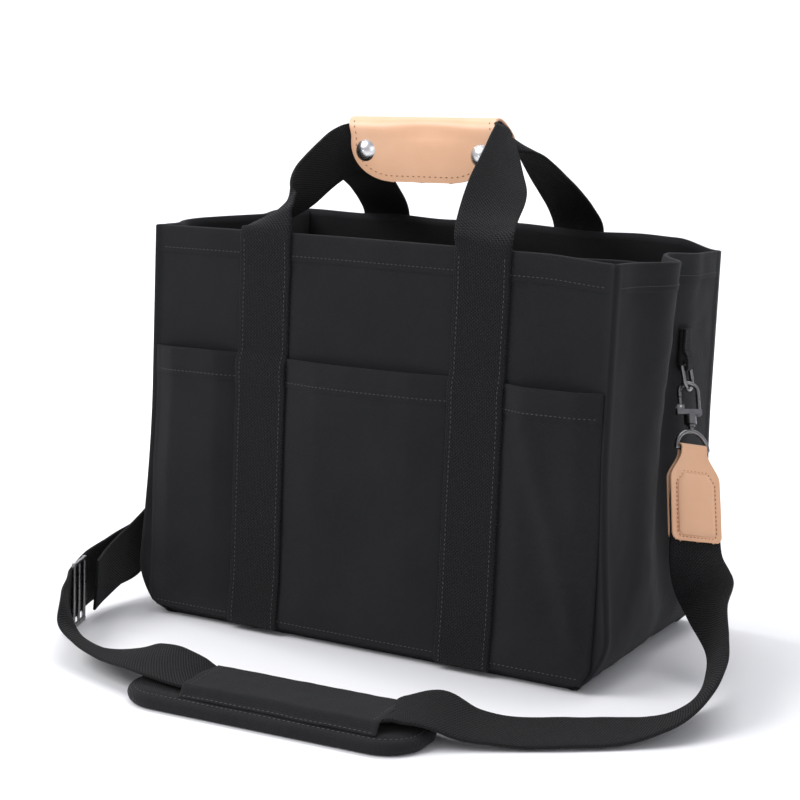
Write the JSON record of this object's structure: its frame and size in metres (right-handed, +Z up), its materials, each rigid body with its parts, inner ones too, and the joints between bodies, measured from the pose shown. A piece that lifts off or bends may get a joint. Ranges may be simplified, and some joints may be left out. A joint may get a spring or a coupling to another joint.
{
  "type": "garden tool bag",
  "caption": "Soft canvas tool tote with sewn outer pockets, an inner divider, webbing handles in a snap-closed leather grip, and a padded shoulder strap on swivel snap hooks.",
  "frame": {"origin": "centre of the bag's base, on the surface it stands on", "axes": "+Z up, +X to the right along the long side seen from the front, +Y to the back; the front carries the open flap side of the grip"},
  "size_m": [0.4579, 0.3927, 0.358],
  "materials": {
    "canvas": "matte woven canvas",
    "webbing": "matte basket-weave webbing",
    "leather": "smooth semi-gloss vegetable-tanned leather",
    "dark_metal": "gunmetal nickel plate",
    "bright_metal": "polished nickel",
    "board": "black covered board"
  },
  "bodies": {
    "bag": {"front_panel": "canvas", "back_panel": "canvas", "left_gusset": "canvas", "right_gusset": "canvas", "base_panel": "canvas", "base_board": "board", "divider_panel": "canvas", "front_pocket": "canvas", "back_pocket": "canvas", "strap_front_left": "webbing", "strap_front_right": "webbing", "strap_back_left": "webbing", "strap_back_right": "webbing", "leg_front_left": "webbing", "leg_front_right": "webbing", "leg_back_left": "webbing", "leg_back_right": "webbing", "ring_tab_left": "webbing", "ring_tab_right": "webbing", "swivel_left": "dark_metal", "swivel_right": "dark_metal", "strap_loop_left": "dark_metal", "strap_loop_right": "dark_metal", "tab_front": "leather", "tab_back": "leather", "tab_patch": "leather", "shoulder_strap": "webbing", "strap_return": "webbing", "slider_frame": "dark_metal", "slider_bar": "dark_metal", "shoulder_pad": "canvas", "pad_sleeve": "canvas"},
    "handle": {"grip_webbing_outer": "webbing", "grip_webbing_inner": "webbing", "grip_leather": "leather", "snap_studs": "dark_metal", "snap_rivets": "dark_metal"},
    "flap": {"grip_flap": "leather", "snap_caps": "bright_metal", "snap_sockets": "dark_metal"},
    "ring_left": {"d_ring_left": "dark_metal"},
    "ring_right": {"d_ring_right": "dark_metal"},
    "clip_left": {"hook_left": "dark_metal", "gate_pin_left": "bright_metal"},
    "clip_right": {"hook_right": "dark_metal", "gate_pin_right": "bright_metal"},
    "latch_left": {"gate_left": "dark_metal"},
    "latch_right": {"gate_right": "dark_metal"}
  },
  "joints": [
    {"name": "handle_tilt", "type": "hinge", "parent": "bag", "child": "handle", "pos_m": [0, 0, 0.276], "axis": [1, 0, 0], "range_deg": [-20, 20], "deforming": ["leg_front_left", "leg_front_right", "leg_back_left", "leg_back_right"]},
    {"name": "flap_open", "type": "hinge", "parent": "handle", "child": "flap", "pos_m": [-0.001, -0.02634, 0.35659], "axis": [-1, 0, 0], "range_deg": [0, 100]},
    {"name": "ring_swing_left", "type": "hinge", "parent": "bag", "child": "ring_left", "pos_m": [-0.17117, 0.038, 0.197], "axis": [0, 1, 0], "range_deg": [-3, 3]},
    {"name": "ring_swing_right", "type": "hinge", "parent": "bag", "child": "ring_right", "pos_m": [0.17117, 0.038, 0.197], "axis": [0, -1, 0], "range_deg": [-2, 2]},
    {"name": "hook_swivel_left", "type": "hinge", "parent": "bag", "child": "clip_left", "pos_m": [-0.18001, 0.02469, 0.16154], "axis": [0.2193, 0.4226, 0.8794], "range_deg": [-30, 30]},
    {"name": "hook_swivel_right", "type": "hinge", "parent": "bag", "child": "clip_right", "pos_m": [0.18105, 0.02588, 0.16127], "axis": [-0.26, 0.383, 0.8864], "range_deg": [-35, 0]},
    {"name": "gate_open_left", "type": "hinge", "parent": "clip_left", "child": "latch_left", "pos_m": [-0.17154, 0.02887, 0.16867], "axis": [0.1022, -0.9063, 0.4101], "range_deg": [0, 25], "stiffness_Nm_per_rad": 0.02, "springref_deg": -11.46},
    {"name": "gate_open_right", "type": "hinge", "parent": "clip_right", "child": "latch_right", "pos_m": [0.17304, 0.02612, 0.16999], "axis": [-0.481, 0.7446, -0.4628], "range_deg": [0, 25], "stiffness_Nm_per_rad": 0.02, "springref_deg": -11.46}
  ]
}
